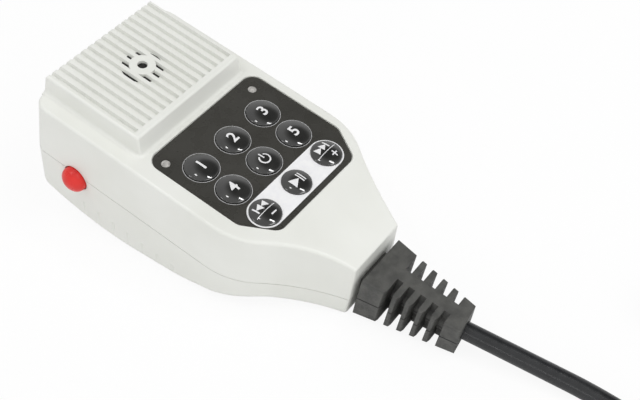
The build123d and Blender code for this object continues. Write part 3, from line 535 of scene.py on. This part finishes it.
def turned_shape(mesh, half_outline, middle):
    """A closed form turned round an upright axis, from its half outline of radius and height."""
    rings = []
    for radius, height in half_outline:
        ring = []
        for step in range(TURN_STEPS if radius else 1):
            angle = FULL_TURN * step / TURN_STEPS
            x, y = radius * math.cos(angle), radius * math.sin(angle)
            ring.append(mesh.verts.new((middle[0] + x, middle[1] + y, height)))
        rings.append(ring)
    for upper, lower in zip(rings, rings[1:]):
        for step in range(TURN_STEPS):
            after = (step + 1) % TURN_STEPS
            corners = [
                upper[step % len(upper)],
                lower[step % len(lower)],
                lower[after % len(lower)],
                upper[after % len(upper)],
            ]
            mesh.faces.new(list(dict.fromkeys(corners)))


def add_domes(material):
    """A clear dome on its flange and stem for each key."""
    for key, (x, y, radius) in KEYS.items():
        mesh = bmesh.new()
        outline = crown_outline(radius, KEY_RISE, KEY_CROWN, KEY_EDGE) + [
            (radius, KEY_FLANGE_TOP),
            (radius + KEY_FLANGE, KEY_FLANGE_TOP),
            (radius + KEY_FLANGE, KEY_FLANGE_BOTTOM),
            (KEY_STEM_RADIUS, KEY_FLANGE_BOTTOM),
            (KEY_STEM_RADIUS, KEY_STEM_BOTTOM),
            (0, KEY_STEM_BOTTOM),
        ]
        turned_shape(mesh, outline, (x, y))
        add_solid(mesh, f"dome_{key}", key, material, key)


def add_lamps(material):
    """Two low lenses with their flanges and leads."""
    mesh = bmesh.new()
    outline = crown_outline(LAMP_RADIUS, LAMP_RISE, LAMP_CROWN, LAMP_EDGE) + [
        (LAMP_RADIUS, LAMP_FLANGE_TOP),
        (LAMP_FLANGE_RADIUS, LAMP_FLANGE_TOP),
        (LAMP_FLANGE_RADIUS, LAMP_BOTTOM),
        (0, LAMP_BOTTOM),
    ]
    lead_size = Matrix.Diagonal((LAMP_LEAD, LAMP_LEAD, LAMP_BOTTOM - BOARD_TOP, 1))
    lead_middle = (LAMP_BOTTOM + BOARD_TOP) / 2
    for x in (-LAMP_X, LAMP_X):
        turned_shape(mesh, outline, (x, LAMP_Y))
        for side in (-1, 1):
            place = Vector((x + side * LAMP_LEAD_PITCH / 2, LAMP_Y, lead_middle))
            bmesh.ops.create_cube(mesh, size=1, matrix=Matrix.Translation(place) @ lead_size)
    add_solid(mesh, "lamp_lenses", "housing", material, "indicator_lamps")


# ---------------------------------------------------------------- print

OVERLAY_TOP = -0.25
PRINT_LIFT = 0.02
# Legends are cut finer until they follow the crown
PRINT_EDGE = 0.7
PRINT_ROUNDS = 5

RINGED_KEYS = ("key_1", "key_2", "key_3", "key_4", "key_5", "key_6")
RING_INNER = 5.93
RING_OUTER = 6.13
RING_STEPS = 64
STRIP_RADIUS = 5.95
STRIP_END_STEPS = 32

FIGURES = {"key_1": "1", "key_2": "2", "key_3": "3", "key_4": "4", "key_6": "5"}
FIGURE_SIZE = 5.8
FIGURE_WEIGHT = 0.02
FIGURE_STEPS = 4
STROKE = 0.5

POWER_INNER = 1.6
POWER_OUTER = 2.1
POWER_START = math.radians(120)
POWER_SWEEP = math.radians(300)
POWER_STEPS = 40
POWER_BAR_Y = 1.5

PLAY_CORNERS = [(-2.4, -1.9), (0.8, 0.0), (-2.4, 1.9)]
PAUSE_BARS_X = (1.35, 2.35)
PAUSE_HEIGHT = 3.8

SKIP_ARROWS_X = (-2.7, -0.3)
SKIP_ARROW_LENGTH = 2.4
SKIP_BOTTOM = 0.7
SKIP_MIDDLE = 2.15
SKIP_TOP = 3.6
SKIP_BAR_X = 2.35
SKIP_BAR_WIDTH = 0.55
DIVIDER_LENGTH = 8.8
DIVIDER_WIDTH = 0.24
# The plus, the minus and the bar of the power sign
SIGN_PLACE = (1.3, -2.3)
SIGN_LENGTH = 2.5


def ring_shape(mesh, inner, outer, start=0.0, sweep=FULL_TURN, steps=RING_STEPS):
    """A flat ring, or part of one."""
    closed = sweep == FULL_TURN
    rows = []
    for step in range(steps if closed else steps + 1):
        angle = start + sweep * step / steps
        direction = Vector((math.cos(angle), math.sin(angle), 0))
        rows.append([mesh.verts.new(direction * radius) for radius in (inner, outer)])
    pairs = list(zip(rows, rows[1:]))
    if closed:
        pairs.append((rows[-1], rows[0]))
    for (near, far), (next_near, next_far) in pairs:
        mesh.faces.new((near, far, next_far, next_near))


def polygon_shape(mesh, corners):
    """A flat polygon, corners counterclockwise."""
    mesh.faces.new([mesh.verts.new((x, y, 0)) for x, y in corners])


def bar_shape(mesh, x, y, width, height):
    """A flat bar round a middle."""
    left, right = x - width / 2, x + width / 2
    bottom, top = y - height / 2, y + height / 2
    polygon_shape(mesh, [(left, bottom), (right, bottom), (right, top), (left, top)])


def text_shape(mesh, text):
    """Plain figures, centred."""
    data = bpy.data.curves.new("figures", "FONT")
    data.body = text
    data.size = FIGURE_SIZE
    data.align_x = "CENTER"
    data.align_y = "CENTER"
    data.offset = FIGURE_SIZE * FIGURE_WEIGHT
    data.resolution_u = FIGURE_STEPS
    holder = bpy.data.objects.new("figures", data)
    bpy.context.scene.collection.objects.link(holder)
    graph = bpy.context.evaluated_depsgraph_get()
    mesh.from_mesh(bpy.data.meshes.new_from_object(holder.evaluated_get(graph)))
    bpy.data.objects.remove(holder)


def dome_height(x, y, radius):
    """Height of a key's crown above the face, at a place from its middle."""
    sphere = sphere_radius(radius, KEY_CROWN)
    return KEY_RISE - sphere + math.sqrt(sphere**2 - x * x - y * y)


def raise_print(mesh, middle, height_at):
    """Lays a flat shape round a middle, on a surface whose height is known."""
    for vertex in mesh.verts:
        x, y = vertex.co.x, vertex.co.y
        vertex.co = (middle[0] + x, middle[1] + y, height_at(x, y) + PRINT_LIFT)


def print_on_key(mesh, key, material):
    """Lays a legend on a key's crown."""
    x, y, radius = KEYS[key]
    bmesh.ops.triangulate(mesh, faces=mesh.faces)
    for _ in range(PRINT_ROUNDS):
        long_edges = [edge for edge in mesh.edges if edge.calc_length() > PRINT_EDGE]
        bmesh.ops.subdivide_edges(mesh, edges=long_edges, cuts=1)
        bmesh.ops.triangulate(mesh, faces=mesh.faces)
    raise_print(mesh, (x, y), lambda u, v: dome_height(u, v, radius))
    add_piece(mesh, f"legend_{key}", key, material)


def print_on_overlay(mesh, name, middle, material):
    """Lays a printed shape on the overlay."""
    raise_print(mesh, middle, lambda u, v: OVERLAY_TOP)
    add_piece(mesh, name, "housing", material)


def add_overlay_print(ring_ink, strip_ink):
    """Thin rings round the domes, and the white strip behind the lower row."""
    for key in RINGED_KEYS:
        x, y, _ = KEYS[key]
        mesh = bmesh.new()
        ring_shape(mesh, RING_INNER, RING_OUTER)
        print_on_overlay(mesh, f"ring_{key}", (x, y), ring_ink)
    mesh = bmesh.new()
    corners = []
    for side, start in ((1, -math.pi / 2), (-1, math.pi / 2)):
        for step in range(STRIP_END_STEPS + 1):
            angle = start + math.pi * step / STRIP_END_STEPS
            x = side * SKIP_X + STRIP_RADIUS * math.cos(angle)
            corners.append((x, STRIP_RADIUS * math.sin(angle)))
    polygon_shape(mesh, corners)
    bmesh.ops.triangulate(mesh, faces=mesh.faces)
    print_on_overlay(mesh, "strip", (0.0, LOWER_ROW), strip_ink)


def skip_shape(mesh, way):
    """Two arrowheads against a bar above a dividing line, pointing right if way is 1."""
    for x in SKIP_ARROWS_X:
        tip = x + SKIP_ARROW_LENGTH
        corners = [(way * x, SKIP_BOTTOM), (way * tip, SKIP_MIDDLE), (way * x, SKIP_TOP)]
        if way < 0:
            corners.reverse()
        polygon_shape(mesh, corners)
    bar_shape(mesh, way * SKIP_BAR_X, SKIP_MIDDLE, SKIP_BAR_WIDTH, SKIP_TOP - SKIP_BOTTOM)
    bar_shape(mesh, 0.0, 0.0, DIVIDER_LENGTH, DIVIDER_WIDTH)


def add_legends(ink):
    """Plain figures on five keys, and the usual signs on the others."""
    for key, figure in FIGURES.items():
        mesh = bmesh.new()
        text_shape(mesh, figure)
        print_on_key(mesh, key, ink)
    mesh = bmesh.new()
    ring_shape(mesh, POWER_INNER, POWER_OUTER, POWER_START, POWER_SWEEP, POWER_STEPS)
    bar_shape(mesh, 0.0, POWER_BAR_Y, STROKE, SIGN_LENGTH)
    print_on_key(mesh, "key_5", ink)
    mesh = bmesh.new()
    polygon_shape(mesh, PLAY_CORNERS)
    for x in PAUSE_BARS_X:
        bar_shape(mesh, x, 0.0, STROKE, PAUSE_HEIGHT)
    print_on_key(mesh, "key_play", ink)
    for key, way in (("key_down", -1), ("key_up", 1)):
        mesh = bmesh.new()
        skip_shape(mesh, way)
        bar_shape(mesh, *SIGN_PLACE, SIGN_LENGTH, STROKE)
        if key == "key_up":
            bar_shape(mesh, *SIGN_PLACE, STROKE, SIGN_LENGTH)
        print_on_key(mesh, key, ink)


# ---------------------------------------------------------------- stage

WHITE = (1, 1, 1, 1)

# The world is darker in the direction that the keys' domes mirror to the camera
WORLD_LEVEL = 0.80
DARK_LEVEL = 0.15
DARK_WAY = (0.58, -0.01, 0.81)
DARK_INNER = math.radians(14.0)
DARK_OUTER = math.radians(34.0)

FLOOR_SIZE = 6.0
FLOOR_COLOUR = (0.9, 0.9, 0.9, 1)
FLOOR_ROUGHNESS = 0.9
FLOOR_GLOW = 0.9

ORIGIN = (0.0, 0.0, 0.0)
KEYS_MIDDLE = (0.0, -0.026, 0.04)

# Name, place, target, width, height, power, and the direction of the width
SOFTBOXES = (
    ("edge_light", (-0.36, 0.24, 0.92), ORIGIN, 0.18, 0.18, 0.9, (1, 0, 0)),
    ("front_light", (0.1, -0.75, 0.85), ORIGIN, 0.5, 0.5, 2.6, (1, 0, 0)),
    ("cord_light", (-0.75, -0.35, 0.35), CORD_ROUTE[3], 0.6, 0.05, 0.38, (0, 1, 0)),
    ("spark_right", (0.298, -0.394, 0.92), KEYS_MIDDLE, 0.22, 0.06, 0.8, (0.45, -0.89, 0)),
    ("spark_above", (0.006, 0.07, 1.034), KEYS_MIDDLE, 0.11, 0.045, 0.18, (0, 1, 0)),
)


def add_world():
    """Soft light with a dark patch in one direction, which the camera sees as plain white."""
    world = bpy.data.worlds.new("studio")
    world.use_nodes = True
    bpy.context.scene.world = world
    nodes = world.node_tree.nodes
    links = world.node_tree.links
    background = nodes["Background"]
    background.inputs["Color"].default_value = WHITE
    rays = nodes.new("ShaderNodeLightPath")
    seen = nodes.new("ShaderNodeMath")
    seen.operation = "MAXIMUM"
    links.new(rays.outputs["Is Camera Ray"], seen.inputs[0])
    links.new(rays.outputs["Is Transmission Ray"], seen.inputs[1])
    way = nodes.new("ShaderNodeTexCoord").outputs["Generated"]
    toward = nodes.new("ShaderNodeVectorMath")
    toward.operation = "DOT_PRODUCT"
    toward.inputs[1].default_value = Vector(DARK_WAY).normalized()
    links.new(way, toward.inputs[0])
    patch = nodes.new("ShaderNodeMapRange")
    patch.interpolation_type = "SMOOTHSTEP"
    patch.inputs["From Min"].default_value = math.cos(DARK_OUTER)
    patch.inputs["From Max"].default_value = math.cos(DARK_INNER)
    patch.inputs["To Min"].default_value = WORLD_LEVEL
    patch.inputs["To Max"].default_value = DARK_LEVEL
    links.new(toward.outputs["Value"], patch.inputs["Value"])
    strength = nodes.new("ShaderNodeMapRange")
    strength.inputs["To Max"].default_value = 1.0
    links.new(patch.outputs["Result"], strength.inputs["To Min"])
    links.new(seen.outputs["Value"], strength.inputs["Value"])
    links.new(strength.outputs["Result"], background.inputs["Strength"])


def add_floor():
    """A white floor that the camera sees nearly as bright as the background."""
    bpy.ops.mesh.primitive_plane_add(size=FLOOR_SIZE, location=ORIGIN)
    floor = bpy.context.object
    floor.name = "floor"
    material = bpy.data.materials.new("floor_white")
    material.use_nodes = True
    nodes = material.node_tree.nodes
    links = material.node_tree.links
    shader = nodes["Principled BSDF"]
    shader.inputs["Base Color"].default_value = FLOOR_COLOUR
    shader.inputs["Roughness"].default_value = FLOOR_ROUGHNESS
    shader.inputs["Specular IOR Level"].default_value = 0.0
    shine = nodes.new("ShaderNodeEmission")
    shine.inputs["Color"].default_value = WHITE
    rays = nodes.new("ShaderNodeLightPath")
    share = nodes.new("ShaderNodeMath")
    share.operation = "MULTIPLY"
    share.inputs[1].default_value = FLOOR_GLOW
    blend = nodes.new("ShaderNodeMixShader")
    links.new(rays.outputs["Is Camera Ray"], share.inputs[0])
    links.new(share.outputs["Value"], blend.inputs["Fac"])
    links.new(shader.outputs["BSDF"], blend.inputs[1])
    links.new(shine.outputs["Emission"], blend.inputs[2])
    links.new(blend.outputs["Shader"], nodes["Material Output"].inputs["Surface"])
    floor.data.materials.append(material)


def add_softbox(name, place, target, width, height, power, along):
    """A soft rectangular lamp that looks at a point, with its width along a direction."""
    data = bpy.data.lights.new(name, "AREA")
    data.shape = "RECTANGLE"
    data.size = width
    data.size_y = height
    data.energy = power
    lamp = bpy.data.objects.new(name, data)
    lamp.location = place
    back = (Vector(place) - Vector(target)).normalized()
    right = Vector(along)
    right = (right - right.dot(back) * back).normalized()
    lamp.rotation_euler = Matrix((right, back.cross(right), back)).transposed().to_euler()
    bpy.context.scene.collection.objects.link(lamp)


bpy.context.scene.view_settings.view_transform = "Standard"
add_camera()
add_cord(cord_jacket())
dress_all()
add_domes(key_dome())
add_lamps(lamp_plastic())
add_overlay_print(white_print("ring_ink", RING_LEVEL), white_print("strip_ink", STRIP_LEVEL))
add_legends(white_print("legend_ink", LEGEND_LEVEL))
add_world()
add_floor()
for softbox in SOFTBOXES:
    add_softbox(*softbox)
